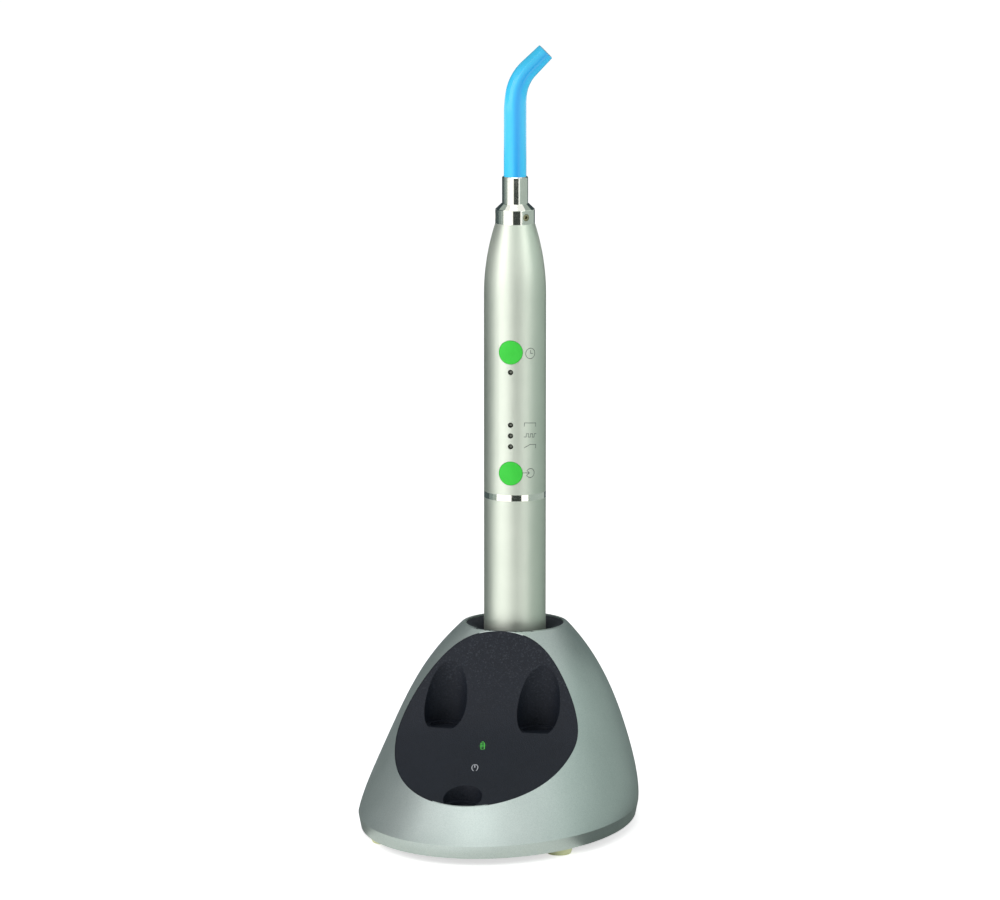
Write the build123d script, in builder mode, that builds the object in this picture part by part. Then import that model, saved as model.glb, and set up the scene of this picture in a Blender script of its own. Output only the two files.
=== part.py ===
from build123d import *
from math import cos, hypot, radians, sin, sqrt
import os

os.makedirs("parts", exist_ok=True)

# Cordless dental curing light standing in its charging base.
# Millimetres. Front is -Y, up is +Z, the origin is on the floor under the middle of the base.

# Base: overall sizes
base_half_width = 48.2
base_front_reach = 88.0
base_back_reach = 44.8
base_top = 68.8
rim_radius = 18.7
foot_height = 2.8
band_height = 4.5
band_inset = 0.9
shell_wall = 2.5
rim_wall = 1.3
rim_round = 0.8

# The handpiece stands this far behind the middle of the base
axis_y = (base_front_reach - base_back_reach) / 2
base_half_depth = (base_front_reach + base_back_reach) / 2

# Base outline: shares of height, front reach, back reach and half width, from the band to the rim
body_shares = [
    (0.0, 1.0, 1.0, 1.0),
    (0.106, 0.885, 1.0, 0.966),
    (0.268, 0.75, 1.0, 0.858),
    (0.561, 0.506, 0.76, 0.622),
    (0.854, 0.211, 0.31, 0.275),
    (1.0, 0.0, 0.0, 0.0),
]

# Front scoop: shares of front reach and height along its centre line, from the rim to the foot
scoop_shares = [
    (-0.04, 1.1),
    (0.0, 0.987),
    (0.096, 0.79),
    (0.263, 0.498),
    (0.364, 0.418),
    (0.514, 0.327),
    (0.84, 0.171),
    (1.06, 0.07),
]
scoop_crown = 330.0
scoop_sweep = 30.0
charge_light_point = 4
status_light_point = 5

# Front panel and its storage pockets
panel_thickness = 2.8
panel_lip = 0.3
panel_gap = 0.05
pocket_radius = 7.6
pocket_x = 0.3506 * base_half_width
pocket_share = 0.182
pocket_floor_share = 0.483
low_pocket_radius = 6.8
low_pocket_share = 0.747
low_pocket_floor_share = 0.172
pocket_wall = 1.6
pocket_recess = 1.2
pocket_recess_rim = 1.9
light_pipe_radius = 1.9
light_pipe_length = 5.0
light_pipe_gap = 0.05
lamp_board_gap = 3.2

# Cradle
seat_z = 16.8
seat_gap = 0.1
cradle_clearance = 0.5
cradle_wall = 1.6
cradle_floor = 1.8
bezel_depth = 8.0
bezel_drop = 0.5
bezel_lip = 0.5
bezel_mouth = 4.0
bezel_skirt = 4.0
post_gap = 1.2

# Floor plate, feet, bosses and screws
plate_thickness = 2.6
plate_gap = 0.2
foot_radius = 4.95
foot_spigot_radius = 2.2
foot_round = 0.7
foot_taper = 0.75
foot_spigot_proud = 1.0
foot_x = 0.6535 * base_half_width
foot_y = 0.565 * base_half_depth
screw_radius = 1.5
screw_head_radius = 2.8
screw_head_height = 1.7
screw_length = 9.0
boss_radius = 3.6
boss_shares = [(0.75, -0.18), (0.58, 0.66)]
driver_slot = 0.7
driver_reach = 3.9
screw_clearance = 0.2
head_clearance = 0.3
cut_spare = 1.0

# Charging parts
ballast_width = 44.0
ballast_length = 36.0
ballast_height = 7.0
ballast_y = -21.8
ballast_edge = 0.8
ballast_corner = 5.0
board_thickness = 1.6
board_stand = 4.0
board_width = 25.0
board_front = 12.0
board_back = base_back_reach - 8.8
stand_radius = 2.0
stand_inset = 6.0
coil_radius = 3.0
chip_width = 7.0
chip_length = 9.0
board_part_height = 2.6
board_part_x = 7.5
board_part_inset = 18.0
contact_block_radius = 5.8
contact_block_gap = 0.4
contact_block_drop = 0.6
contact_block_floor = 1.0
pin_radius = 1.0
pin_clearance = 0.08
pin_travel = 0.8
ring_contact_radius = 4.2
pin_gap = 0.05
pin_rest_gap = 0.2
contact_depth = 1.0
ring_contact_width = 2.2
centre_contact_radius = 1.7
inlet_radius = 4.4
inlet_bore = 2.8
inlet_pin_radius = 1.05
inlet_depth = 9.0
inlet_height = 6.0
inlet_block = 12.0
inlet_recess = 0.6
inlet_pin_back = 1.0
inlet_gap = 0.1

# Handpiece
cell_radius = 9.15
cell_length = 65.0
cell_clearance = 0.35
cell_round = 0.8
cell_button_radius = 3.0
tube_wall = 1.5
tube_radius = cell_radius + cell_clearance + tube_wall
end_cap_height = 2.0
end_cap_round = 0.8
end_cap_spigot = 5.0
spring_height = 1.5
spring_edge = 1.0
spring_sheet = 0.5
plug_tip = 1.0
plug_flange = 4.0
plug_shoulder = 3.0
plug_stem_radius = 4.0
plug_pin_radius = 2.0
plug_pin_length = 4.0
battery_spare = 12.8
ring_height = 2.2
ring_spigot_low = 6.0
ring_spigot_wall = 1.2
slide_clearance = 0.08
housing_straight = 70.4
nose_length = 25.2
collar_height = 5.0
collar_spigot_length = 8.7
cone_height = 1.9
cone_edge = 0.35
collar_round = 0.3
collar_stop = 2.5
grub_radius = 1.25
grub_length = 2.0
grub_recess = 0.15
grub_socket_radius = 0.72
grub_socket_depth = 1.1
grub_angles = [49.0, 169.0, -71.0]
seal_radius = 0.4
seal_drop = 1.5
seal_gap = 0.1
seal_squeeze = 0.05
seat_play = 0.1

# Buttons and lights, measured up from the ring
control_angle = 6.6
button_radius = 4.3
button_clearance = 0.12
button_proud = 0.12
button_flange = 0.7
button_flange_width = 0.6
button_flange_gap = 0.15
button_spigot_gap = 0.1
button_travel = 0.6
upper_button_height = 51.0
lower_button_height = 7.8
lens_radius = 0.95
lens_heights = [43.9, 25.1, 21.25, 17.4]
handpiece_board_offset = 4.0
handpiece_board_edge = 2.1
handpiece_board_thickness = 1.2
board_foot_gap = 1.5
board_head_gap = 4.0
lamp_height = 0.8
switch_width = 6.0
plunger_radius = 1.7
plunger_height = 0.6
switch_gap = 0.1
socket_width = 8.0
socket_height = 9.0
socket_depth = 5.0
socket_gap = 1.8

# Light engine
heat_sink_gap = 0.2
heat_sink_length = 12.0
heat_sink_plate = 3.0
fin_slots = 12
fin_slot_depth = 3.0
fin_slot_width = 1.6
led_disc_height = 1.6
led_disc_edge = 0.6
led_chip_width = 3.4
led_chip_height = 1.0
lens_rim = 1.0
lens_holder_wall = 1.4
lens_disc_height = 3.6
lens_edge_height = 2.0
lens_crown = 0.3

# Light guide
guide_radius = 4.0
guide_tip_radius = 3.2
guide_clearance = 0.05
ferrule_wall = 0.55
collar_wall = 1.25
nose_wall = 1.1
ferrule_length = 22.7
ferrule_chamfer = 0.3
guide_set_back = 0.3
stop_lip = 0.3
guide_straight = 25.4
guide_bend_radius = 18.7
guide_bend = 45.0
guide_end = 7.5
guide_turn = 15.0
taper_steps = 5

# Sizes that follow from those above
ferrule_radius = guide_radius + guide_clearance + ferrule_wall
collar_spigot_radius = ferrule_radius + guide_clearance + collar_wall
nose_radius = collar_spigot_radius + nose_wall
lens_disc_radius = guide_radius + lens_rim
tube_bore = tube_radius - tube_wall
heat_sink_radius = tube_bore - heat_sink_gap
led_disc_radius = lens_disc_radius + lens_holder_wall + led_disc_edge
handpiece_board_width = 2 * (sqrt(tube_bore ** 2 - handpiece_board_offset ** 2) - handpiece_board_edge)
ring_spigot_high = lower_button_height - button_radius - button_flange_width - button_spigot_gap
cell_space = spring_height + cell_length + plug_tip + plug_flange
battery_length = end_cap_height + end_cap_spigot + cell_space + battery_spare + ring_spigot_low

# Levels that follow from those sizes
band_top = foot_height + band_height
plate_low = foot_height
plate_top = plate_low + plate_thickness
board_low = plate_top + board_stand
board_top = board_low + board_thickness
handpiece_foot = seat_z + seat_gap
ring_low = handpiece_foot + battery_length
ring_top = ring_low + ring_height
straight_top = ring_top + housing_straight
nose_top = straight_top + nose_length
collar_top = nose_top + collar_height
cone_top = collar_top + cone_height
collar_foot = nose_top - collar_spigot_length
ferrule_low = collar_foot + collar_stop
ferrule_top = ferrule_low + ferrule_length
cradle_bore = tube_radius + cradle_clearance
cradle_low = seat_z - cradle_floor
cradle_top = base_top - bezel_depth
rim_bore = rim_radius - rim_wall
axis = Axis((0, axis_y, 0), (0, 0, 1))


def reach(share, full):
    """Distance from the handpiece axis at a share of the way from the rim to the widest outline."""
    return rim_radius + (full - rim_radius) * share


def level(share):
    """Height at a share of the way from the foot band to the rim."""
    return band_top + (base_top - band_top) * share


def finish(piece, name):
    """Name a finished piece and write its file."""
    piece.part.label = name
    export_step(piece.part, f"parts/{name}.step")


def side_plane(height=0.0):
    """Upright plane through the handpiece axis, X outwards and Y up."""
    return Plane(origin=(0, axis_y, height), x_dir=(1, 0, 0), z_dir=(0, -1, 0))


def radial_plane(angle, height, distance=0.0):
    """Plane facing out from the handpiece axis, at an angle from the front towards +X."""
    out = Vector(sin(radians(angle)), -cos(radians(angle)), 0)
    across = Vector(cos(radians(angle)), sin(radians(angle)), 0)
    origin = Vector(0, axis_y, height) + out * distance
    return Plane(origin=origin, x_dir=across, z_dir=out)


def turned(outline):
    """Solid turned about the handpiece axis from (radius, height) points."""
    with BuildPart() as piece:
        with BuildSketch(side_plane()):
            with BuildLine():
                Polyline(*outline, close=True)
            make_face()
        revolve(axis=axis)
    return piece.part


def body_form(inset):
    """Closed outer form of the base, drawn in by inset all round."""
    with BuildPart() as form:
        for height_share, front_share, back_share, width_share in body_shares:
            front = reach(front_share, base_front_reach)
            back = reach(back_share, base_back_reach)
            width = reach(width_share, base_half_width)
            with BuildSketch(Plane.XY.offset(level(height_share))):
                with Locations((0, axis_y - (front - back) / 2)):
                    Ellipse(width - inset, (front + back) / 2 - inset)
        loft()
        for height, extra in ((band_top, 0.0), (foot_height, band_inset)):
            with BuildSketch(Plane.XY.offset(height)):
                Ellipse(base_half_width - inset - extra, base_half_depth - inset - extra)
        loft(ruled=True)
    return form.part


def scoop_point(index):
    """Point (y, z) of the scoop's centre line."""
    front_share, height_share = scoop_shares[index]
    return axis_y - reach(front_share, base_front_reach), level(height_share)


def scoop_block(sink=0.0):
    """Everything in front of and above the crowned scoop, sunk back and down into the base."""
    points = [scoop_point(index) for index in range(len(scoop_shares))]
    points = [(y + sink, z - sink) for y, z in points]
    front = points[-1][0] - base_front_reach
    top = points[0][1] + base_top
    with BuildPart() as block:
        with BuildSketch(Plane.YZ):
            with BuildLine():
                curve = Spline(*points)
                Polyline(curve @ 1, (front, points[-1][1]), (front, top), (points[0][0], top), curve @ 0)
            make_face()
        crown_axis = Axis((0, 0, -scoop_crown), (0, 1, 0))
        revolve(axis=crown_axis, revolution_arc=scoop_sweep)
    return block.part.rotate(crown_axis, -scoop_sweep / 2)


def scoop_plane(index):
    """Plane square to the scoop at one of its points."""
    y_above, z_above = scoop_point(index - 1)
    y_below, z_below = scoop_point(index + 1)
    y, z = scoop_point(index)
    return Plane(origin=(0, y, z), x_dir=(1, 0, 0), z_dir=(0, z_below - z_above, y_above - y_below))


def round_block(radius, low, high, places):
    """Upright round bars between two heights."""
    with BuildPart() as bars:
        with BuildSketch(Plane.XY.offset(low)):
            with Locations(*places):
                Circle(radius)
        extrude(amount=high - low)
    return bars.part


def screw_group(places, head_z, upward):
    """Round-head screws with a cross-slot; the shank points up when upward is true."""
    way = 1 if upward else -1
    with BuildPart() as group:
        with BuildSketch(Plane.XY.offset(head_z)):
            with Locations(*places):
                Circle(screw_head_radius)
        extrude(amount=way * screw_head_height)
        with BuildSketch(Plane.XY.offset(head_z + way * screw_head_height)):
            with Locations(*places):
                Circle(screw_radius)
        extrude(amount=way * screw_length)
        with BuildSketch(Plane.XY.offset(head_z)):
            with Locations(*places):
                Rectangle(driver_reach, driver_slot)
                Rectangle(driver_slot, driver_reach)
        extrude(amount=way * screw_head_height / 2, mode=Mode.SUBTRACT)
    return group


outer_form = body_form(0)
lip_form = body_form(panel_lip)
inner_form = body_form(shell_wall)
panel_front = scoop_block()
panel_back = scoop_block(panel_thickness)
recess_back = scoop_block(panel_thickness + panel_gap)

boss_places = [
    (side * x * base_half_width, y * base_half_depth) for x, y in boss_shares for side in (-1, 1)
]
foot_places = [(side * foot_x, way * foot_y) for side in (-1, 1) for way in (-1, 1)]
post_x = cradle_bore + cradle_wall + screw_head_radius + post_gap
flange_radius = post_x + screw_head_radius
post_places = [(side * post_x, axis_y) for side in (-1, 1)]
ballast_places = [(side * ballast_width / 3, ballast_y) for side in (-1, 1)]
stand_places = [
    (side * board_width / 3, axis_y + way)
    for side in (-1, 1)
    for way in (stand_inset - board_front, board_back - stand_inset)
]
inlet_z = board_top + inlet_height
inlet_face = axis_y + base_back_reach - inlet_recess

# Storage pockets: place, radius and floor height of each
cup_drop = pocket_recess + pocket_wall
pocket_y = axis_y - reach(pocket_share, base_front_reach)
low_pocket_y = axis_y - reach(low_pocket_share, base_front_reach)
pockets = [
    (side * pocket_x, pocket_y, pocket_radius, level(pocket_floor_share)) for side in (-1, 1)
]
pockets.append((0, low_pocket_y, low_pocket_radius, level(low_pocket_floor_share)))

# Painted shell: a hollow cowl, cut open in front for the panel and on top for the cradle
with BuildPart() as base_shell:
    add(outer_form)
    rim_edges = base_shell.faces().sort_by(Axis.Z)[-1].edges()
    fillet(rim_edges, radius=rim_round)
    add(inner_form, mode=Mode.SUBTRACT)
    add(round_block(rim_bore, cradle_top, base_top, [(0, axis_y)]), mode=Mode.SUBTRACT)
    add(round_block(boss_radius, plate_top, base_top, boss_places) & body_form(shell_wall / 2))
    boss_drill = round_block(screw_radius, plate_low, plate_top + screw_length, boss_places)
    add(boss_drill, mode=Mode.SUBTRACT)
    add(panel_front, mode=Mode.SUBTRACT)
    add(lip_form & recess_back, mode=Mode.SUBTRACT)
    for x, y, radius, floor in pockets:
        room_radius = radius + pocket_wall + panel_gap
        room = round_block(room_radius, floor - cup_drop - panel_gap, base_top, [(x, y)])
        add(room & lip_form, mode=Mode.SUBTRACT)
    with BuildSketch(Plane(origin=(0, inlet_face, inlet_z), x_dir=(-1, 0, 0), z_dir=(0, 1, 0))):
        Circle(inlet_radius + inlet_gap)
    extrude(amount=inlet_block, both=True, mode=Mode.SUBTRACT)
finish(base_shell, "base_shell")

# Textured front panel with its three storage pockets
with BuildPart() as front_panel:
    add(lip_form & panel_back)
    for x, y, radius, floor in pockets:
        add(round_block(radius + pocket_wall, floor - cup_drop, base_top, [(x, y)]) & lip_form)
    add(panel_front, mode=Mode.SUBTRACT)
    bezel_room = round_block(rim_bore, cradle_top - panel_gap, base_top, [(0, axis_y)])
    add(bezel_room, mode=Mode.SUBTRACT)
    for x, y, radius, floor in pockets:
        add(round_block(radius, floor, base_top, [(x, y)]), mode=Mode.SUBTRACT)
        recess_radius = radius - pocket_recess_rim
        add(round_block(recess_radius, floor - pocket_recess, floor, [(x, y)]), mode=Mode.SUBTRACT)
    for index in (charge_light_point, status_light_point):
        with BuildSketch(scoop_plane(index).offset(-light_pipe_length)):
            Circle(light_pipe_radius + light_pipe_gap)
        extrude(amount=2 * light_pipe_length, mode=Mode.SUBTRACT)
finish(front_panel, "front_panel")

# Clear light pipes that end flush in the panel
for index, name in ((charge_light_point, "charge_indicator"), (status_light_point, "status_indicator")):
    with BuildPart() as light_pipe:
        with BuildSketch(scoop_plane(index).offset(-light_pipe_length)):
            Circle(light_pipe_radius)
        extrude(amount=light_pipe_length)
    finish(light_pipe, name)

# Small board with the two lamps behind the light pipes
lamp_depth = light_pipe_length + board_thickness + lamp_board_gap
lamp_plane = scoop_plane(status_light_point).offset(-lamp_depth)
lamp_span = hypot(*(a - b for a, b in zip(scoop_point(charge_light_point), scoop_point(status_light_point))))
with BuildPart() as lamp_board:
    with BuildSketch(lamp_plane):
        with Locations((0, lamp_span / 2)):
            RectangleRounded(3 * light_pipe_radius, lamp_span + 5 * light_pipe_radius, 1)
    extrude(amount=board_thickness)
    with BuildSketch(lamp_plane.offset(board_thickness)):
        with Locations((0, 0), (0, lamp_span)):
            Rectangle(2 * light_pipe_radius, 1.5 * light_pipe_radius)
    extrude(amount=board_thickness)
finish(lamp_board, "lamp_board")

# Dark funnel in the rim
mouth_radius = rim_bore - panel_gap
with BuildPart() as rim_bezel:
    with BuildSketch(side_plane()):
        with BuildLine():
            top = (mouth_radius, base_top - bezel_drop)
            lip = (mouth_radius - bezel_lip, base_top - bezel_drop)
            throat = (cradle_bore, base_top - bezel_drop - bezel_mouth)
            foot = (cradle_bore, cradle_top)
            skirt = (cradle_bore + cradle_wall, cradle_top)
            Line(top, lip)
            TangentArc(lip, throat, tangent=(-1, -0.2))
            Polyline(throat, foot, skirt, (mouth_radius, cradle_top + bezel_skirt), top)
        make_face()
    revolve(axis=axis)
finish(rim_bezel, "rim_bezel")

# Well that holds the handpiece upright, open at the floor for the contacts
with BuildPart() as cradle_well:
    add(turned([
        (contact_block_radius + contact_block_gap, cradle_low),
        (flange_radius, cradle_low),
        (flange_radius, seat_z),
        (cradle_bore + cradle_wall, seat_z),
        (cradle_bore + cradle_wall, cradle_top),
        (cradle_bore, cradle_top),
        (cradle_bore, seat_z),
        (contact_block_radius + contact_block_gap, seat_z),
    ]))
    drill_radius = screw_radius + screw_clearance
    post_drill = round_block(drill_radius, cradle_low - cut_spare, seat_z + cut_spare, post_places)
    add(post_drill, mode=Mode.SUBTRACT)
finish(cradle_well, "cradle_well")

# Floor plate with posts for the well, stands for the board and recesses for the screw heads
with BuildPart() as floor_plate:
    with BuildSketch(Plane.XY.offset(plate_low)):
        edge = band_inset + shell_wall + plate_gap
        Ellipse(base_half_width - edge, base_half_depth - edge)
        with Locations(*foot_places):
            Circle(foot_spigot_radius, mode=Mode.SUBTRACT)
        with Locations(*boss_places):
            Circle(screw_radius, mode=Mode.SUBTRACT)
    extrude(amount=plate_thickness)
    head_radius = screw_head_radius + head_clearance
    add(round_block(head_radius, plate_low, plate_low + screw_head_height, boss_places), mode=Mode.SUBTRACT)
    add(round_block(boss_radius, plate_top, cradle_low, post_places))
    add(round_block(stand_radius, plate_top, board_low, stand_places))
    add(round_block(screw_radius, seat_z - screw_length, cradle_low, post_places), mode=Mode.SUBTRACT)
    ballast_tip = plate_top + ballast_height - screw_length
    add(round_block(screw_radius, ballast_tip, plate_top, ballast_places), mode=Mode.SUBTRACT)
finish(floor_plate, "floor_plate")

# Rubber feet pushed into the floor plate
with BuildPart() as rubber_feet:
    for x, y in foot_places:
        with BuildSketch(Plane.XY):
            with Locations((x, y)):
                Circle(foot_radius - foot_taper)
        with BuildSketch(Plane.XY.offset(plate_low)):
            with Locations((x, y)):
                Circle(foot_radius)
        loft()
        with BuildSketch(Plane.XY.offset(plate_low)):
            with Locations((x, y)):
                Circle(foot_spigot_radius)
        extrude(amount=plate_thickness + foot_spigot_proud)
    fillet(rubber_feet.edges().group_by(Axis.Z)[0], radius=foot_round)
finish(rubber_feet, "rubber_feet")

# Screws: four hold the floor plate to the shell, two the well and two the ballast
finish(screw_group(boss_places, plate_low, True), "base_screws")
finish(screw_group(post_places, seat_z + screw_head_height, False), "cradle_screws")
finish(screw_group(ballast_places, plate_top + ballast_height + screw_head_height, False), "ballast_screws")

# Steel ballast
with BuildPart() as ballast_weight:
    with BuildSketch(Plane.XY.offset(plate_top)):
        with Locations((0, ballast_y)):
            RectangleRounded(ballast_width, ballast_length, ballast_corner)
        with Locations(*ballast_places):
            Circle(screw_radius, mode=Mode.SUBTRACT)
    extrude(amount=ballast_height)
    chamfer(ballast_weight.faces().sort_by(Axis.Z)[-1].outer_wire().edges(), length=ballast_edge)
finish(ballast_weight, "ballast_weight")

# Charging board with its larger parts
with BuildPart() as charger_board:
    with BuildSketch(Plane.XY.offset(board_low)):
        with Locations((0, axis_y + (board_back - board_front) / 2)):
            Rectangle(board_width, board_front + board_back)
    extrude(amount=board_thickness)
    with BuildSketch(Plane.XY.offset(board_top)):
        with Locations((-board_part_x, axis_y + board_back - board_part_inset)):
            Circle(coil_radius)
        with Locations((board_part_x, axis_y + board_back - board_part_inset)):
            Rectangle(chip_width, chip_length)
    extrude(amount=board_part_height)
finish(charger_board, "charger_board")

# Power inlet at the back: a block on the board with a round nose through the shell
with BuildPart() as dc_inlet:
    with BuildSketch(Plane.XY.offset(board_top)):
        with Locations((0, axis_y + board_back - inlet_block / 2)):
            Rectangle(2 * inlet_radius, inlet_block)
    extrude(amount=inlet_height + inlet_radius)
    face_plane = Plane(origin=(0, inlet_face, inlet_z), x_dir=(-1, 0, 0), z_dir=(0, 1, 0))
    with BuildSketch(face_plane):
        Circle(inlet_radius)
    extrude(amount=axis_y + board_back - inlet_face)
    with BuildSketch(face_plane):
        Circle(inlet_bore)
    extrude(amount=-inlet_depth, mode=Mode.SUBTRACT)
    with BuildSketch(face_plane.offset(-inlet_depth)):
        Circle(inlet_pin_radius)
    extrude(amount=inlet_depth - inlet_pin_back)
finish(dc_inlet, "dc_inlet")

# Contact block and its two sprung pins, one in the middle and one under the ring contact
pin_places = [(0, axis_y), (ring_contact_radius, axis_y)]
block_floor = board_top + contact_block_floor
pin_low = block_floor + pin_travel + pin_rest_gap
with BuildPart() as contact_block:
    with BuildSketch(Plane.XY.offset(board_top)):
        with Locations((0, axis_y)):
            Circle(contact_block_radius)
    extrude(amount=seat_z - contact_block_drop - board_top)
    add(round_block(pin_radius + pin_clearance, block_floor, seat_z, pin_places), mode=Mode.SUBTRACT)
finish(contact_block, "contact_block")

with BuildPart() as charge_pins:
    add(round_block(pin_radius, pin_low, handpiece_foot - pin_gap, pin_places))
    fillet(charge_pins.edges().group_by(Axis.Z)[-1], radius=pin_radius / 2)
finish(charge_pins, "charge_pins")

# Battery pack: end cap, ring contacts, tube, cell and coupling ring
cap_top = handpiece_foot + end_cap_height
ring_contact_half = ring_contact_width / 2
with BuildPart() as end_cap:
    add(turned([
        (0, handpiece_foot),
        (tube_radius - end_cap_round, handpiece_foot),
        (tube_radius, handpiece_foot + end_cap_round),
        (tube_radius, cap_top),
        (tube_bore, cap_top),
        (tube_bore, cap_top + end_cap_spigot),
        (0, cap_top + end_cap_spigot),
    ]))
    with BuildSketch(Plane.XY.offset(handpiece_foot)):
        with Locations((0, axis_y)):
            Circle(ring_contact_radius + ring_contact_half)
            Circle(ring_contact_radius - ring_contact_half, mode=Mode.SUBTRACT)
            Circle(centre_contact_radius)
    extrude(amount=contact_depth, mode=Mode.SUBTRACT)
finish(end_cap, "end_cap")

with BuildPart() as charge_contacts:
    with BuildSketch(Plane.XY.offset(handpiece_foot)):
        with Locations((0, axis_y)):
            Circle(ring_contact_radius + ring_contact_half)
            Circle(ring_contact_radius - ring_contact_half, mode=Mode.SUBTRACT)
            Circle(centre_contact_radius)
    extrude(amount=contact_depth)
finish(charge_contacts, "charge_contacts")

with BuildPart() as battery_tube:
    add(turned([
        (tube_bore, cap_top),
        (tube_radius, cap_top),
        (tube_radius, ring_low),
        (tube_bore, ring_low),
    ]))
finish(battery_tube, "battery_tube")

spigot_top = cap_top + end_cap_spigot
cell_low = spigot_top + spring_height
cell_top = cell_low + cell_length
with BuildPart() as cell_contact:
    add(turned([
        (0, spigot_top),
        (cell_radius - spring_edge, spigot_top),
        (cell_radius - spring_edge, spigot_top + spring_sheet),
        (cell_button_radius, cell_low),
        (0, cell_low),
    ]))
finish(cell_contact, "cell_contact")

with BuildPart() as battery_cell:
    with BuildSketch(Plane.XY.offset(cell_low)):
        with Locations((0, axis_y)):
            Circle(cell_radius)
    extrude(amount=cell_length)
    fillet(battery_cell.edges(), radius=cell_round)
    with BuildSketch(Plane.XY.offset(cell_top)):
        with Locations((0, axis_y)):
            Circle(cell_button_radius)
    extrude(amount=plug_tip)
finish(battery_cell, "battery_cell")

plug_low = cell_top + plug_tip
plug_top = ring_top + ring_spigot_high
with BuildPart() as battery_plug:
    add(turned([
        (0, plug_low),
        (tube_bore, plug_low),
        (tube_bore, plug_low + plug_flange),
        (plug_stem_radius, plug_low + plug_flange + plug_shoulder),
        (plug_stem_radius, plug_top - plug_pin_length),
        (plug_pin_radius, plug_top - plug_pin_length),
        (plug_pin_radius, plug_top),
        (0, plug_top),
    ]))
finish(battery_plug, "battery_plug")

spigot_radius = tube_bore - slide_clearance
spigot_bore = tube_bore - ring_spigot_wall
with BuildPart() as chrome_ring:
    add(turned([
        (spigot_bore, ring_low - ring_spigot_low),
        (tube_bore, ring_low - ring_spigot_low),
        (tube_bore, ring_low),
        (tube_radius, ring_low),
        (tube_radius, ring_top),
        (spigot_radius, ring_top),
        (spigot_radius, ring_top + ring_spigot_high),
        (spigot_bore, ring_top + ring_spigot_high),
    ]))
finish(chrome_ring, "chrome_ring")

# Handpiece housing: straight tube with a rounded nose
nose_drop = tube_radius - nose_radius
nose_arc = (nose_length ** 2 + nose_drop ** 2) / (2 * nose_drop)
bore_arc = nose_arc - tube_wall
bore_stop = nose_length - collar_spigot_length
bore_stop_radius = tube_bore - bore_arc + sqrt(bore_arc ** 2 - bore_stop ** 2)
with BuildPart() as front_housing:
    with BuildSketch(side_plane()):
        with BuildLine():
            Polyline((tube_bore, straight_top), (tube_bore, ring_top), (tube_radius, ring_top),
                     (tube_radius, straight_top))
            TangentArc((tube_radius, straight_top), (nose_radius, nose_top), tangent=(0, 1))
            Polyline((nose_radius, nose_top), (collar_spigot_radius, nose_top),
                     (collar_spigot_radius, collar_foot), (bore_stop_radius, collar_foot))
            TangentArc((tube_bore, straight_top), (bore_stop_radius, collar_foot), tangent=(0, 1))
        make_face()
    revolve(axis=axis)
    for height in (upper_button_height, lower_button_height):
        with BuildSketch(radial_plane(control_angle, ring_top + height)):
            Circle(button_radius)
        extrude(amount=2 * tube_radius, mode=Mode.SUBTRACT)
    for height in lens_heights:
        with BuildSketch(radial_plane(control_angle, ring_top + height)):
            Circle(lens_radius)
        extrude(amount=2 * tube_radius, mode=Mode.SUBTRACT)
finish(front_housing, "front_housing")

# Push buttons, curved with the tube, each with a flange behind the wall
flange_edge = button_radius + button_flange_width
flange_top = sqrt(tube_bore ** 2 - flange_edge ** 2) - button_flange_gap
flange_low = flange_top - button_flange
for height, name in ((upper_button_height, "upper_button"), (lower_button_height, "lower_button")):
    with BuildPart() as button:
        with BuildSketch(radial_plane(control_angle, ring_top + height, flange_low)):
            Circle(button_radius - button_clearance)
        extrude(amount=tube_radius)
        with BuildSketch(Plane.XY.offset(ring_top + height - 2 * button_radius)):
            with Locations((0, axis_y)):
                Circle(tube_radius + button_proud)
        extrude(amount=4 * button_radius, mode=Mode.INTERSECT)
        with BuildSketch(radial_plane(control_angle, ring_top + height, flange_low)):
            Circle(flange_edge)
        extrude(amount=button_flange)
    finish(button, name)

# Dark lenses over the indicator lamps
with BuildPart() as indicator_lenses:
    for height in lens_heights:
        with BuildSketch(radial_plane(control_angle, ring_top + height, tube_bore)):
            Circle(lens_radius)
        extrude(amount=tube_wall)
finish(indicator_lenses, "indicator_lenses")

# Control board, its two switches and the socket for the battery plug
board_face = handpiece_board_offset
board_foot = plug_top + board_foot_gap
board_head = straight_top - heat_sink_length - board_head_gap
board_middle = (board_foot + board_head) / 2
with BuildPart() as control_board:
    with BuildSketch(radial_plane(control_angle, board_middle, board_face)):
        Rectangle(handpiece_board_width, board_head - board_foot)
    extrude(amount=-handpiece_board_thickness)
    for height in lens_heights:
        with BuildSketch(radial_plane(control_angle, ring_top + height, board_face)):
            Rectangle(2 * lens_radius, 1.5 * lens_radius)
        extrude(amount=lamp_height)
finish(control_board, "control_board")

switch_top = flange_low - button_travel - switch_gap
switch_height = switch_top - board_face
with BuildPart() as tact_switches:
    for height in (upper_button_height, lower_button_height):
        with BuildSketch(radial_plane(control_angle, ring_top + height, board_face)):
            Rectangle(switch_width, switch_width)
        extrude(amount=switch_height - plunger_height)
        with BuildSketch(radial_plane(control_angle, ring_top + height, board_face)):
            Circle(plunger_radius)
        extrude(amount=switch_height)
finish(tact_switches, "tact_switches")

socket_middle = plug_top + socket_gap + socket_height / 2
with BuildPart() as battery_socket:
    with BuildSketch(radial_plane(control_angle, socket_middle, board_face - handpiece_board_thickness)):
        Rectangle(socket_width, socket_height)
    extrude(amount=-socket_depth)
finish(battery_socket, "battery_socket")

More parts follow.
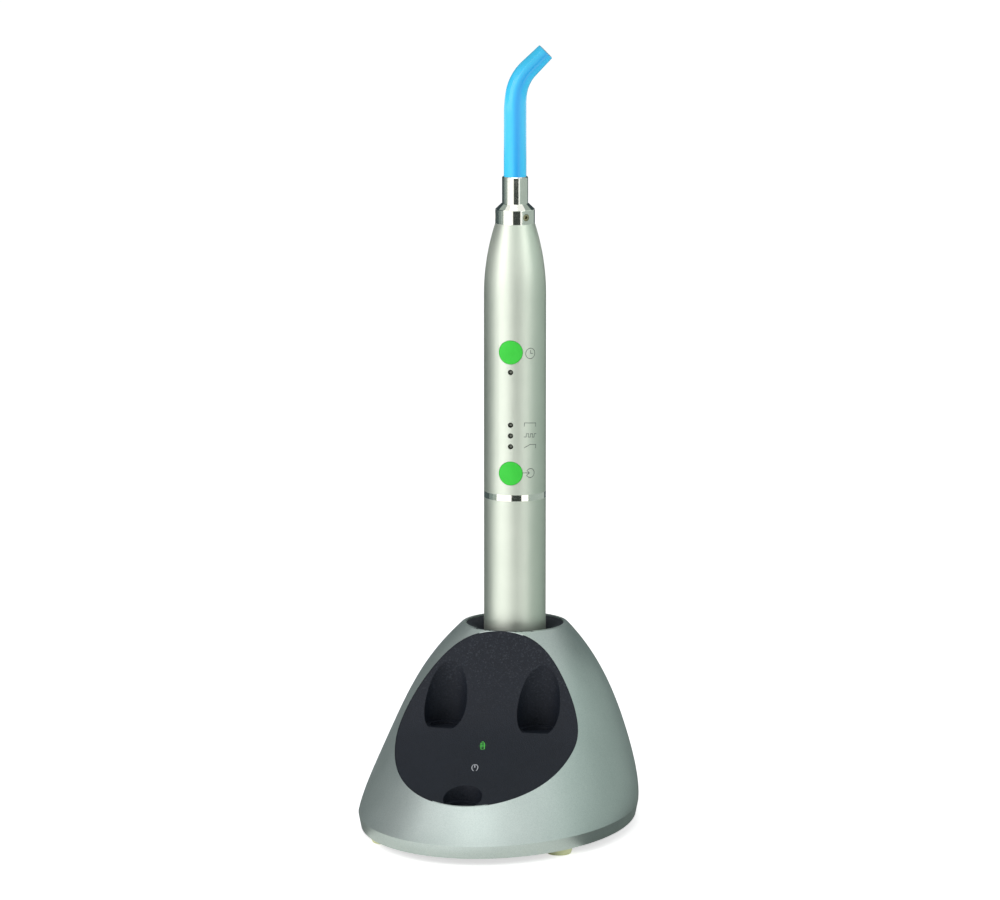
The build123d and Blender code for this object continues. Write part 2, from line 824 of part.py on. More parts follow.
# Light engine: heat sink, lamp disc and condenser lens
sink_low = straight_top - heat_sink_length
with BuildPart() as heat_sink:
    with BuildSketch(Plane.XY.offset(sink_low)):
        with Locations((0, axis_y)):
            Circle(heat_sink_radius)
    extrude(amount=heat_sink_length)
    with BuildSketch(Plane.XY.offset(sink_low)):
        with Locations((0, axis_y)):
            with PolarLocations(heat_sink_radius, fin_slots):
                Rectangle(fin_slot_depth, fin_slot_width)
    extrude(amount=heat_sink_length - heat_sink_plate, mode=Mode.SUBTRACT)
finish(heat_sink, "heat_sink")

led_low = straight_top
with BuildPart() as led_module:
    with BuildSketch(Plane.XY.offset(led_low)):
        with Locations((0, axis_y)):
            Circle(led_disc_radius)
    extrude(amount=led_disc_height)
    with BuildSketch(Plane.XY.offset(led_low + led_disc_height)):
        with Locations((0, axis_y)):
            Rectangle(led_chip_width, led_chip_width)
    extrude(amount=led_chip_height)
finish(led_module, "led_module")

lens_low = collar_foot - lens_disc_height
with BuildPart() as condenser_lens:
    add(turned([
        (0, lens_low),
        (lens_disc_radius, lens_low),
        (lens_disc_radius, lens_low + lens_edge_height),
        (lens_disc_radius / 2, collar_foot - lens_crown),
        (0, collar_foot),
    ]))
finish(condenser_lens, "condenser_lens")

# Holder that carries the lens on the lamp disc
holder_low = led_low + led_disc_height
with BuildPart() as lens_holder:
    add(turned([
        (lens_disc_radius, holder_low),
        (lens_disc_radius + lens_holder_wall, holder_low),
        (lens_disc_radius + lens_holder_wall, collar_foot),
        (lens_disc_radius, collar_foot),
    ]))
finish(lens_holder, "lens_holder")

# Nickel collar screwed into the nose, with a groove for the seal and three grub screws
seal_z = nose_top - seal_drop
bore = ferrule_radius + guide_clearance
groove_radius = bore + 2 * seal_radius + seal_squeeze
groove_half = seal_radius + seal_gap
with BuildPart() as nose_collar:
    add(turned([
        (guide_radius - stop_lip, collar_foot),
        (collar_spigot_radius, collar_foot),
        (collar_spigot_radius, nose_top),
        (nose_radius, nose_top),
        (nose_radius, collar_top),
        (ferrule_radius + cone_edge, cone_top),
        (bore, cone_top),
        (bore, seal_z + groove_half),
        (groove_radius, seal_z + groove_half),
        (groove_radius, seal_z - groove_half),
        (bore, seal_z - groove_half),
        (bore, ferrule_low - seat_play),
        (guide_radius - stop_lip, ferrule_low - seat_play),
    ]))
    shoulder = nose_collar.edges().filter_by_position(Axis.Z, collar_top - seat_play, collar_top + seat_play)
    fillet(shoulder, radius=collar_round)
    grub_z = nose_top + collar_height / 2
    for angle in grub_angles:
        with BuildSketch(radial_plane(angle, grub_z)):
            Circle(grub_radius)
        extrude(amount=2 * nose_radius, mode=Mode.SUBTRACT)
finish(nose_collar, "nose_collar")

with BuildPart() as grub_screws:
    start = nose_radius - grub_recess - grub_length
    for angle in grub_angles:
        with BuildSketch(radial_plane(angle, grub_z, start)):
            Circle(grub_radius)
        extrude(amount=grub_length)
        with BuildSketch(radial_plane(angle, grub_z, start + grub_length)):
            RegularPolygon(grub_socket_radius, 6)
        extrude(amount=-grub_socket_depth, mode=Mode.SUBTRACT)
finish(grub_screws, "grub_screws")

with BuildPart() as o_ring:
    with BuildSketch(side_plane()):
        with Locations((bore + seal_radius, seal_z)):
            Circle(seal_radius)
    revolve(axis=axis)
finish(o_ring, "o_ring")

# Ferrule sleeve of the light guide
guide_bore = guide_radius + guide_clearance
with BuildPart() as guide_ferrule:
    add(turned([
        (guide_bore, ferrule_low),
        (ferrule_radius - ferrule_chamfer, ferrule_low),
        (ferrule_radius, ferrule_low + ferrule_chamfer),
        (ferrule_radius, ferrule_top - ferrule_chamfer),
        (ferrule_radius - ferrule_chamfer, ferrule_top),
        (guide_bore, ferrule_top),
    ]))
finish(guide_ferrule, "guide_ferrule")

# Bent fibre light guide: a straight stem, then a bend and a tip that taper together
guide_low = ferrule_low + guide_set_back
bend_low = ferrule_top + guide_straight
lean = Vector(cos(radians(guide_turn)), sin(radians(guide_turn)), 0)
bend_middle = Vector(0, axis_y, bend_low) + lean * guide_bend_radius
taper_length = radians(guide_bend) * guide_bend_radius + guide_end


def guide_section(angle, beyond):
    """Plane across the guide at an angle round its bend and a length beyond that, and its radius there."""
    way = lean * sin(radians(angle)) + Vector(0, 0, cos(radians(angle)))
    inward = lean * cos(radians(angle)) - Vector(0, 0, sin(radians(angle)))
    origin = bend_middle - inward * guide_bend_radius + way * beyond
    share = (radians(angle) * guide_bend_radius + beyond) / taper_length
    radius = guide_radius + (guide_tip_radius - guide_radius) * share
    return Plane(origin=origin, x_dir=inward, z_dir=way), radius


with BuildPart() as light_guide:
    with BuildSketch(Plane.XY.offset(guide_low)):
        with Locations((0, axis_y)):
            Circle(guide_radius)
    extrude(amount=bend_low - guide_low)
    sections = [guide_section(guide_bend * step / taper_steps, 0) for step in range(taper_steps + 1)]
    for plane, radius in sections + [guide_section(guide_bend, guide_end)]:
        with BuildSketch(plane):
            Circle(radius)
    loft()
finish(light_guide, "light_guide")
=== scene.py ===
# %% [markdown]
# # A dental curing light in its charging base
#
# The object is a pen-shaped handpiece standing in a silver charging base. A CAD model already holds
# its real shapes, sizes and joints. This notebook gives every surface its finish, replaces the few
# pieces whose shape Blender can do better, and sets up the studio that shows them.

# %% Load the fixed frame
import bpy
import bmesh
from math import atan2, cos, pi, radians, sin, tau
from mathutils import Matrix, Vector
from mathutils.bvhtree import BVHTree


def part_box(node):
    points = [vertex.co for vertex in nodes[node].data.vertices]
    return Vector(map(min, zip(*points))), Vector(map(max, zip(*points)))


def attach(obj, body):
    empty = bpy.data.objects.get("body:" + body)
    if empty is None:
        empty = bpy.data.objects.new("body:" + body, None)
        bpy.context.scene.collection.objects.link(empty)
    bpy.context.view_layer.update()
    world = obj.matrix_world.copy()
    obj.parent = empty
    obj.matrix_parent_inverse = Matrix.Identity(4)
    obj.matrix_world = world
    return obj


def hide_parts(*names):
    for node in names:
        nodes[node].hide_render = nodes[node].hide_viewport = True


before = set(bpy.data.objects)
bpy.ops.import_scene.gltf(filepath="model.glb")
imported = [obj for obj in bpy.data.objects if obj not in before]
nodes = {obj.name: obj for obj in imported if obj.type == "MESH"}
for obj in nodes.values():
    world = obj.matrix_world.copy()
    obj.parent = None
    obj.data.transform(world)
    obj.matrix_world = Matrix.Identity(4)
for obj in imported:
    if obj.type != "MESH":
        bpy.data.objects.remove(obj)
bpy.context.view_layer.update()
MM = 0.001

# %% [markdown]
# ## Where things are
#
# Every place below is read from the frame, so that nothing has to be fitted by eye. The handpiece is
# a turned part, so its axis is the middle of its housing, and the sizes of rings and tubes are half
# the width of their boxes.

# %% Read the driving places from the frame


def middle(node):
    """Middle of a CAD node's box."""
    low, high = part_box(node)
    return (low + high) / 2


def half_width(node):
    """Half of a CAD node's box along X, which is the radius of a turned piece."""
    low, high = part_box(node)
    return (high.x - low.x) / 2


axis = Vector((0, middle("front_housing").y, 0))
tube_radius = half_width("front_housing")
sleeve_wall_shown = 0.6 * MM
guide_radius = half_width("guide_ferrule") - sleeve_wall_shown
guide_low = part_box("light_guide")[0].z
ferrule_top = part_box("guide_ferrule")[1].z
print("handpiece axis", tuple(round(v, 4) for v in axis), "tube radius", round(tube_radius, 4))

# %% [markdown]
# ## The camera
#
# A product photograph like this one is taken with a long lens from a couple of metres away, a little
# from the right and a little from above. The long lens keeps the upright tube almost parallel. The
# camera looks slightly past the handpiece on the left, which puts the handpiece right of centre.

# %% Camera
camera_turn = radians(15.0)
camera_distance = 1.9
camera_height = 0.4498
camera_pitch = radians(9.53)
camera_offset = 0.0053
camera_lens = 195.5

right = Vector((cos(camera_turn), sin(camera_turn), 0))
towards_camera = Vector((sin(camera_turn), -cos(camera_turn), 0))
camera_data = bpy.data.cameras.new("camera")
camera_data.lens = camera_lens
camera_data.sensor_width = 36.0
camera_data.clip_start = 0.05
camera_data.clip_end = 50.0
camera = bpy.data.objects.new("camera", camera_data)
bpy.context.scene.collection.objects.link(camera)
camera.location = axis + towards_camera * camera_distance - right * camera_offset
camera.location.z = camera_height
camera.rotation_euler = (pi / 2 - camera_pitch, 0, camera_turn)
bpy.context.scene.camera = camera
bpy.context.scene.view_settings.view_transform = "Standard"
print("camera at", tuple(round(v, 3) for v in camera.location))

# %% [markdown]
# ## Writing shaders as sums
#
# A finish is easier to read as arithmetic than as a wiring diagram. `Value` wraps a socket and turns
# `+`, `-`, `*` and `**` into Math nodes, and `+` and `-` take a plain number on the left as well.
# `Finish` owns one material, makes any other node with `add`, and feeds its Principled shader with
# `wear`.

# %% Socket arithmetic


class Value:
    """A shader socket that can stand in a Python expression."""

    def __init__(self, finish, socket):
        self.finish = finish
        self.socket = socket

    def math(self, operation, first, second=0.0):
        return self.finish.add("ShaderNodeMath", {"operation": operation}, {0: first, 1: second})

    def __add__(self, other):
        return self.math("ADD", self, other)

    def __radd__(self, other):
        return self.math("ADD", other, self)

    def __sub__(self, other):
        return self.math("SUBTRACT", self, other)

    def __rsub__(self, other):
        return self.math("SUBTRACT", other, self)

    def __mul__(self, other):
        return self.math("MULTIPLY", self, other)

    def __pow__(self, other):
        return self.math("POWER", self, other)

    def cos(self):
        return self.math("COSINE", self)

    def sin(self):
        return self.math("SINE", self)


class Finish:
    """One material: its Principled shader and the nodes that feed it."""

    def __init__(self, name):
        self.material = bpy.data.materials.new(name)
        self.material.use_nodes = True
        self.tree = self.material.node_tree
        self.shader = self.tree.nodes["Principled BSDF"]

    def feed(self, socket, value):
        if isinstance(value, Value):
            self.tree.links.new(value.socket, socket)
        else:
            socket.default_value = value

    def add(self, kind, settings=None, inputs=None, output=0):
        """Make a node: settings first, then the values or links of its sockets."""
        node = self.tree.nodes.new(kind)
        for key, value in (settings or {}).items():
            setattr(node, key, value)
        for key, value in (inputs or {}).items():
            self.feed(node.inputs[key], value)
        return Value(self, node.outputs[output])

    def wear(self, **inputs):
        """Set or link sockets of the shader; an underscore stands for a space."""
        for key, value in inputs.items():
            self.feed(self.shader.inputs[key.replace("_", " ")], value)
        return self

    def place(self):
        return self.add("ShaderNodeTexCoord", output="Object")

    def axis_part(self, letter, vector=None):
        """One coordinate, X, Y or Z, of the object's own place."""
        return self.add("ShaderNodeSeparateXYZ", {}, {0: vector or self.place()}, output=letter)

    def stretch(self, scale, vector=None):
        return self.add("ShaderNodeMapping", {}, {"Vector": vector or self.place(), "Scale": scale})

    def noise(self, size, detail=2.0, vector=None, roughness=0.5):
        """Cloudy values from 0 to 1 whose blotches measure about size metres."""
        sockets = {"Vector": vector or self.place(), "Scale": 1 / size, "Detail": detail}
        sockets["Roughness"] = roughness
        return self.add("ShaderNodeTexNoise", {}, sockets)

    def grains(self, size, output="Distance"):
        """Cells about size metres across, by their distance or their random colour."""
        sockets = {"Vector": self.place(), "Scale": 1 / size}
        return self.add("ShaderNodeTexVoronoi", {}, sockets, output=output)

    def remap(self, value, low, high, new_low=0.0, new_high=1.0):
        sockets = {0: value, 1: low, 2: high, 3: new_low, 4: new_high}
        return self.add("ShaderNodeMapRange", {"clamp": True}, sockets)

    def mix(self, factor, first, second):
        """Blend two colours."""
        sockets = {0: factor, 6: first, 7: second}
        return self.add("ShaderNodeMix", {"data_type": "RGBA"}, sockets, output=2)

    def bump(self, height, distance, strength=1.0):
        sockets = {"Height": height, "Distance": distance, "Strength": strength}
        return self.add("ShaderNodeBump", {}, sockets)


def tone(red, green, blue):
    """A colour picked by its screen values from 0 to 255, as the shader wants it."""
    levels = (red / 255, green / 255, blue / 255)
    bent = [v / 12.92 if v <= 0.04045 else ((v + 0.055) / 1.055) ** 2.4 for v in levels]
    return (*bent, 1.0)


def dress(finish, *names):
    """Give CAD nodes a finish."""
    for name in names:
        mesh = nodes[name].data
        mesh.materials.clear()
        mesh.materials.append(finish.material)


# %% [markdown]
# ## Silver paint on the base
#
# The base is a plastic moulding sprayed with a cool silver lacquer. Real silver lacquer is many tiny
# flakes under a thin satin coat, so it is metallic and rather dull, sparkles a little from flake to
# flake, and rolls very gently where the film is thicker. Small random cells give the flakes, and a soft
# noise gives the orange-peel roll of the film.

# %% Silver paint
silver_paint = Finish("silver_paint")
flake_size = 0.16 * MM
flakes = silver_paint.grains(flake_size, output="Color")
flake_light = silver_paint.axis_part("X", flakes)
film = silver_paint.noise(14 * MM, 3)
rubbed = silver_paint.noise(2.5 * MM, 4)
shade = silver_paint.remap(flake_light * 0.6 + film * 0.4, 0.1, 0.9)
silver_paint.wear(
    Base_Color=silver_paint.mix(shade, tone(176, 189, 185), tone(200, 210, 206)),
    Metallic=0.94,
    Roughness=0.42 + film * 0.05 + rubbed * 0.04,
    Coat_Weight=0.1,
    Coat_Roughness=0.35,
    Normal=silver_paint.bump(flake_light * 0.35 + film, 0.03 * MM, 0.6),
)
dress(silver_paint, "base_shell")

# %% [markdown]
# ## Spark-textured panel
#
# The dark panel, its pockets and the funnel in the rim are unpainted moulded plastic. The mould was spark
# eroded, which leaves a fine even grain. Cells and a finer noise as bump give that grain, and the
# roughness goes up and down with it. A few grains are painted lighter as painted glints, tiny dots of
# highlight that fade in with height towards the upper part, where the light falls.

# %% Dark moulded plastic
# Heights between which the painted glints fade in.
painted_glints_from, painted_glints_full = 38 * MM, 58 * MM


def spark_plastic(name, dark, pale, grain, depth):
    """Moulded plastic with a spark-eroded grain of a given size and depth, in metres."""
    finish = Finish(name)
    coarse = finish.grains(grain)
    fine = finish.noise(grain * 0.4, 4)
    clouds = finish.noise(9 * MM, 2)
    height = coarse * 0.7 + fine * 0.5
    speckle = finish.remap(height, 0.35, 0.95)
    skin = finish.mix(speckle * 0.6 + clouds * 0.3, dark, pale)
    # Painted glints: a few grains painted lighter as tiny highlights, fading in with height towards the
    # top.
    painted_glints = finish.remap(finish.axis_part("X", finish.grains(grain, output="Color")), 0.78, 1.0)
    painted_glint_fade = finish.remap(finish.axis_part("Z"), painted_glints_from, painted_glints_full)
    finish.wear(
        Base_Color=finish.mix(painted_glints * painted_glint_fade * 0.2, skin, tone(92, 100, 108)),
        Roughness=0.5 + fine * 0.16,
        Specular_IOR_Level=0.3,
        Normal=finish.bump(height, depth, 0.8),
    )
    return finish


panel_plastic = spark_plastic("panel_plastic", tone(3, 8, 18), tone(22, 31, 43), 0.42 * MM, 0.16 * MM)
dress(panel_plastic, "front_panel")
funnel_plastic = spark_plastic("funnel_plastic", tone(24, 27, 33), tone(42, 46, 54), 0.42 * MM, 0.03 * MM)
dress(funnel_plastic, "rim_bezel", "cradle_well")
plate_plastic = spark_plastic("plate_plastic", tone(26, 27, 30), tone(44, 45, 49), 0.6 * MM, 0.06 * MM)
dress(plate_plastic, "floor_plate")
cap_plastic = spark_plastic("cap_plastic", tone(22, 23, 25), tone(36, 37, 40), 0.3 * MM, 0.02 * MM)
dress(cap_plastic, "end_cap", "dc_inlet", "contact_block")
dress(cap_plastic, "battery_plug", "battery_socket", "tact_switches")

# %% [markdown]
# ## Satin anodised tubes
#
# The battery tube and the housing are aluminium, glass-bead blasted and anodised in a pale champagne
# colour. Blasting leaves a frosted surface with no direction: a fine bump, a fairly even roughness,
# and faint clouds where hands and the blasting nozzle passed.

# %% Anodised aluminium
handpiece_aluminium = Finish("handpiece_aluminium")
frost = handpiece_aluminium.noise(0.12 * MM, 3)
clouds = handpiece_aluminium.noise(11 * MM, 3)
handling = handpiece_aluminium.noise(1.6 * MM, 5, roughness=0.65)
shade = clouds * 0.7 + frost * 0.3
handpiece_aluminium.wear(
    Base_Color=handpiece_aluminium.mix(shade, tone(202, 211, 197), tone(217, 224, 211)),
    Metallic=1.0,
    Roughness=0.41 + handling * 0.06 + frost * 0.05,
    Normal=handpiece_aluminium.bump(frost, 0.012 * MM, 0.7),
)
dress(handpiece_aluminium, "front_housing", "battery_tube")

# %% [markdown]
# ## Bright nickel
#
# The collar, the sleeve of the light guide and the ring between battery and housing are turned and
# nickel plated. Plating is nearly a mirror, with hair-fine turning marks around the piece, so the
# pattern is a noise that is stretched flat along Z.

# %% Polished nickel


def bright_metal(name, colour, roughness, marks, pale=tone(250, 250, 243)):
    """Plated or turned metal with fine marks around the upright axis."""
    finish = Finish(name)
    lathe = finish.noise(0.25 * MM, 3, finish.stretch((0.02, 0.02, 1.0)))
    smears = finish.noise(2.2 * MM, 4)
    finish.wear(
        Base_Color=finish.mix(smears * 0.6, colour, pale),
        Metallic=1.0,
        Roughness=roughness + smears * 0.05 + lathe * marks,
        Normal=finish.bump(lathe, 0.004 * MM, 0.5),
    )
    return finish


polished_nickel = bright_metal("polished_nickel", tone(238, 240, 229), 0.045, 0.04)
dress(polished_nickel, "nose_collar", "guide_ferrule", "chrome_ring")
screw_steel = bright_metal("screw_steel", tone(150, 150, 152), 0.28, 0.12)
dress(screw_steel, "base_screws", "cradle_screws", "ballast_screws")
black_steel = bright_metal("black_steel", tone(142, 141, 112), 0.35, 0.1, tone(172, 170, 140))
turned_aluminium = bright_metal("turned_aluminium", tone(196, 197, 199), 0.3, 0.2)
dress(turned_aluminium, "heat_sink", "lens_holder")
gold_plate = bright_metal("gold_plate", tone(214, 176, 92), 0.2, 0.1)
dress(gold_plate, "charge_contacts", "charge_pins", "cell_contact")

# %% [markdown]
# ## Buttons, feet and seals
#
# The buttons are soft-touch plastic in a flat leaf green. The feet are pale rubber that has picked up
# a little dust, so their colour drifts with a noise and their surface is dull.

# %% Green buttons


def soft_plastic(name, first, second, roughness, grain):
    """Evenly coloured plastic or rubber with a slight drift in colour and a fine skin."""
    finish = Finish(name)
    drift = finish.noise(3 * MM, 3)
    skin = finish.noise(grain, 3)
    finish.wear(
        Base_Color=finish.mix(drift, first, second),
        Roughness=roughness + skin * 0.1,
        Specular_IOR_Level=0.35,
        Normal=finish.bump(skin, 0.01 * MM, 0.6),
    )
    return finish


button_green = soft_plastic("button_green", tone(58, 219, 64), tone(72, 230, 76), 0.5, 0.1 * MM)
dress(button_green, "upper_button", "lower_button")
foot_rubber = soft_plastic("foot_rubber", tone(222, 228, 178), tone(236, 240, 196), 0.65, 0.3 * MM)
dress(foot_rubber, "rubber_feet")
black_rubber = soft_plastic("black_rubber", tone(20, 20, 20), tone(34, 34, 34), 0.55, 0.1 * MM)
dress(black_rubber, "o_ring")

# %% [markdown]
# ## What is inside
#
# The inner pieces show only when the handpiece is lifted or taken apart, yet each still gets its own
# finish: green solder mask with the fibre weave of the laminate under it, printed shrink wrap on the
# cell, cast grey steel for the ballast and clear glass for the lens.

# %% Inner finishes
board_laminate = Finish("board_laminate")
thread_spacing = 0.9 * MM
along = board_laminate.axis_part("X") * (tau / thread_spacing)
across = board_laminate.axis_part("Y") * (tau / thread_spacing)
weave = along.sin() * across.sin() * 0.5 + 0.5
mask = board_laminate.noise(4 * MM, 3)
board_laminate.wear(
    Base_Color=board_laminate.mix(weave * 0.4 + mask * 0.4, tone(18, 84, 46), tone(38, 118, 66)),
    Roughness=0.3 + mask * 0.15,
    Normal=board_laminate.bump(weave, 0.01 * MM, 0.4),
)
dress(board_laminate, "charger_board", "lamp_board", "control_board", "led_module")
cell_wrap = soft_plastic("cell_wrap", tone(36, 72, 128), tone(48, 88, 146), 0.28, 0.4 * MM)
dress(cell_wrap, "battery_cell")
ballast_steel = bright_metal("ballast_steel", tone(96, 96, 100), 0.42, 0.3)
dress(ballast_steel, "ballast_weight")
lens_glass = Finish("lens_glass")
rings = lens_glass.noise(0.6 * MM, 2)
lens_glass.wear(
    Base_Color=lens_glass.mix(rings, tone(225, 236, 244), tone(240, 247, 252)),
    Roughness=0.04 + rings * 0.03,
    Alpha=0.35 + rings * 0.05,
)
dress(lens_glass, "condenser_lens")

# %% [markdown]
# ## The light guide
#
# The guide is a rod of fused glass fibres, straight and then bent by 45 degrees in the heat, where it
# also draws out a little thinner. The shape is one disc carried along a path: extrude the disc, move
# the new ring on, turn it, shrink it, and go on. A spin would do for a plain bend, but it can't taper.
# The bend starts gently and tightens, as softened glass does. Each ring remembers how far along the
# rod it is, and each vertex its place around it, because the fibres run along the rod and the finish
# needs both as a UV map.

# %% Plan the rod's path
bend_radius = 18.7 * MM
bend_angle = radians(45.0)
tip_length = 7.5 * MM
tip_radius = 3.2 * MM
tip_bevel = 0.2 * MM
guide_straight = 25.4 * MM
lead_in_radius = 40.0 * MM
lead_in_angle = radians(8.0)
tight_radius = 15.5 * MM
bend_low = ferrule_top + guide_straight
corner = bend_radius * sin(bend_angle / 2) / cos(bend_angle / 2)
lean = Vector((cos(camera_turn), sin(camera_turn), 0))
hinge_line = Vector((-lean.y, lean.x, 0))
up = Vector((0, 0, 1))


def bend_reach(radius, start, end):
    """How far an arc of the bend goes sideways and up, between two of its angles."""
    return radius * (cos(start) - cos(end)), radius * (sin(end) - sin(start))


side_one, up_one = bend_reach(lead_in_radius, 0.0, lead_in_angle)
side_two, up_two = bend_reach(tight_radius, lead_in_angle, bend_angle)
lost_side, lost_up = side_one + side_two, up_one + up_two
slope_foot = lost_up - lost_side * cos(bend_angle) / sin(bend_angle)
stem_top = bend_low + corner - slope_foot
tip_stretch = tip_length + corner - lost_side / sin(bend_angle)
print("stem", round(stem_top - guide_low, 4), "tip", round(tip_stretch, 4))

# %% Carry the disc along the path


def finish_mesh(bm, name):
    """Turn a bmesh into an object at the origin with smooth faces."""
    bmesh.ops.remove_doubles(bm, verts=bm.verts, dist=0.001 * MM)
    bmesh.ops.recalc_face_normals(bm, faces=bm.faces)
    mesh = bpy.data.meshes.new(name)
    bm.to_mesh(mesh)
    bm.free()
    piece = bpy.data.objects.new(name, mesh)
    bpy.context.scene.collection.objects.link(piece)
    for face in mesh.polygons:
        face.use_smooth = True
    return piece


def extruded(bm, faces):
    """Extrude faces in place and return the new faces and their vertices."""
    result = bmesh.ops.extrude_face_region(bm, geom=faces)
    bmesh.ops.delete(bm, geom=faces, context="FACES_ONLY")
    new_faces = [item for item in result["geom"] if isinstance(item, bmesh.types.BMFace)]
    new_verts = [item for item in result["geom"] if isinstance(item, bmesh.types.BMVert)]
    return new_faces, new_verts


rod = bmesh.new()
length_layer = rod.verts.layers.float.new("length")
turn_layer = rod.verts.layers.float.new("turn")
foot = Matrix.Translation(axis + up * guide_low)
bmesh.ops.create_circle(rod, cap_ends=True, segments=96, radius=guide_radius, matrix=foot)
for vert in rod.verts:
    out = vert.co - axis
    vert[turn_layer] = atan2(out.dot(hinge_line), out.dot(lean)) / tau
foot_verts = rod.verts[:]
rod_faces = rod.faces[:]

stem_steps, lead_in_steps, tight_steps, tip_steps = 12, 8, 26, 6
arcs = [
    (lead_in_radius, lead_in_angle, lead_in_steps),
    (tight_radius, bend_angle - lead_in_angle, tight_steps),
]
steps = [(0.0, (stem_top - guide_low) / stem_steps)] * stem_steps
for radius, angle, count in arcs:
    steps += [(angle / count, radius * angle / count)] * count
steps += [(0.0, tip_stretch / tip_steps)] * tip_steps
total_length = sum(step for _, step in steps)
taper_start = stem_top - guide_low
centre = axis + up * guide_low
heading, travelled, ring_radius = 0.0, 0.0, guide_radius
for turn, step in steps:
    heading += turn / 2
    way = lean * sin(heading) + up * cos(heading)
    heading += turn / 2
    travelled += step
    share = max(0.0, (travelled - taper_start) / (total_length - taper_start))
    new_radius = guide_radius + (tip_radius - guide_radius) * share
    rod_faces, ring = extruded(rod, rod_faces)
    bmesh.ops.translate(rod, verts=ring, vec=way * step)
    centre = centre + way * step
    bmesh.ops.rotate(rod, verts=ring, cent=centre, matrix=Matrix.Rotation(turn, 3, hinge_line))
    to_centre = Matrix.Translation(-centre)
    bmesh.ops.scale(rod, verts=ring, vec=(new_radius / ring_radius,) * 3, space=to_centre)
    ring_radius = new_radius
    for vert in ring:
        vert[length_layer] = travelled
bmesh.ops.contextual_create(rod, geom=foot_verts)

uv_layer = rod.loops.layers.uv.new("along")
for face in rod.faces:
    turns = [loop.vert[turn_layer] for loop in face.loops]
    for loop, turn in zip(face.loops, turns):
        wrapped = turn + 1 if max(turns) - turn > 0.5 else turn
        loop[uv_layer].uv = (wrapped, loop.vert[length_layer])
tip_edges = [edge for face in rod_faces for edge in face.edges]
bmesh.ops.bevel(
    rod, geom=tip_edges, offset=tip_bevel, segments=3, profile=0.5, affect="EDGES", material=-1
)
print("light guide", len(rod.faces), "faces, tip at", [round(v, 4) for v in centre])

guide_rod = finish_mesh(rod, "guide_rod")
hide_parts("light_guide")
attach(guide_rod, "guide_rod")

# %% [markdown]
# The glass is a strong sky blue. Noise that runs along the fibres gives soft darker and lighter
# streaks, and three regular darker streaks, one of them facing the camera, are painted shade. The rod
# also has a painted glow, a faint emission in its own colour. A pattern that only knows the angle U is
# perfectly straight along the rod, and reading it through sine and cosine closes it without a seam.
# Past the bend the drawn fibres turn a little greener on one side.

# %% Blue fibre glass
guide_glass = Finish("guide_glass")
along_map = guide_glass.add("ShaderNodeUVMap", {"uv_map": "along"})
around = guide_glass.axis_part("X", along_map) * tau
length = guide_glass.axis_part("Y", along_map)
ring_sockets = {0: around.cos(), 1: around.sin(), 2: length * 2.0}
ring_place = guide_glass.add("ShaderNodeCombineXYZ", {}, ring_sockets)
broad = guide_glass.noise(1.15, 1, ring_place)
hairs = guide_glass.noise(0.06, 3, ring_place)
# Painted shade: three regular darker streaks round the rod, one facing the camera; the noise adds the
# fibres' own streaks.
painted_shade_turn = radians(-79.0)
streak_count = 3.0
painted_shade_streaks = (((around - painted_shade_turn) * streak_count).cos() * 0.5 + 0.5) ** 3.0
fibres_and_painted_shade = guide_glass.remap(painted_shade_streaks * 0.75 + broad * 0.35 + hairs * 0.2, 0.2, 1.05)
fresh = guide_glass.mix(fibres_and_painted_shade, tone(48, 196, 240), tone(34, 158, 226))
drawn_from, drawn_full = 50 * MM, 64 * MM
drawn = guide_glass.remap(length, drawn_from, drawn_full) * (0.5 - around.cos() * 0.5)
glass_colour = guide_glass.mix(drawn * 0.95, fresh, tone(26, 164, 202))
guide_glass.wear(
    Base_Color=glass_colour,
    Roughness=0.42 + hairs * 0.08,
    Specular_IOR_Level=0.3,
    Coat_Weight=0.9,
    Coat_Roughness=0.12,
    Sheen_Weight=1.0,
    Sheen_Roughness=0.2,
    Sheen_Tint=(0.85, 0.97, 1.0, 1.0),
    # Painted glow: the rod emits faintly in its own colour, though it is no lamp.
    Emission_Color=glass_colour,
    Emission_Strength=0.33,
    Normal=guide_glass.bump(hairs, 0.01 * MM, 0.12),
)
guide_rod.data.materials.append(guide_glass.material)

# %% [markdown]
# ## Grub screws
#
# Three grub screws in the collar hold the light guide's sleeve. The CAD model has them as plain pins,
# and here each one gets the small bevel and the hexagon socket of a real screw. Their places come
# from the CAD mesh: the screws stand 120 degrees apart, so the mean of three times their angle is the
# same for all of them.

